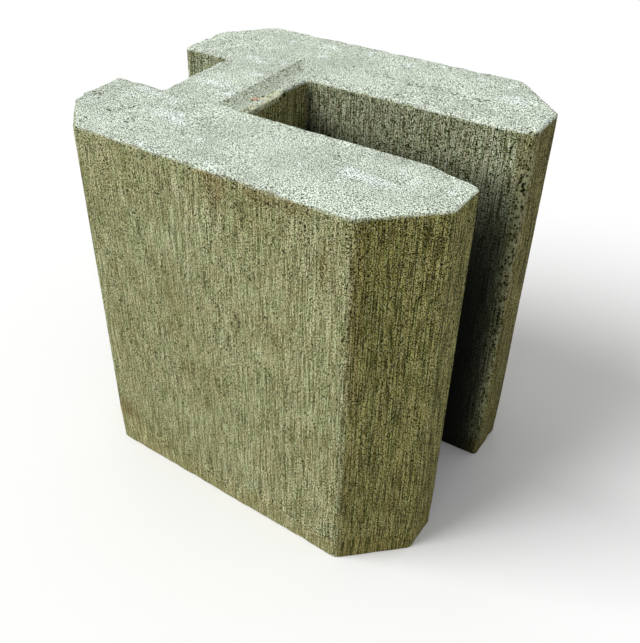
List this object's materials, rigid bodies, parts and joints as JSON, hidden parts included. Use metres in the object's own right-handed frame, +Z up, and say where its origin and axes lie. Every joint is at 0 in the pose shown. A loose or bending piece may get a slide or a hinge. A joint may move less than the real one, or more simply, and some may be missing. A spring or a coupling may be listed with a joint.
{
  "type": "fence base block",
  "caption": "Cast concrete block, H-shaped in plan, with a deep slot for a plinth board and a shallow notch for a post; outer corners cut at 45 degrees.",
  "frame": {"origin": "centre of the block's bounding box, on its underside", "axes": "+Z up, +X out of the deep slot's mouth along the legs, +Y across the legs towards the one that the picture shows behind"},
  "size_m": [0.25, 0.2, 0.25],
  "materials": {
    "concrete": "weathered dry-cast concrete: pale grey-green pitted top, olive streaked walls with open pores"
  },
  "bodies": {
    "root": {"block": "concrete"}
  },
  "joints": []
}
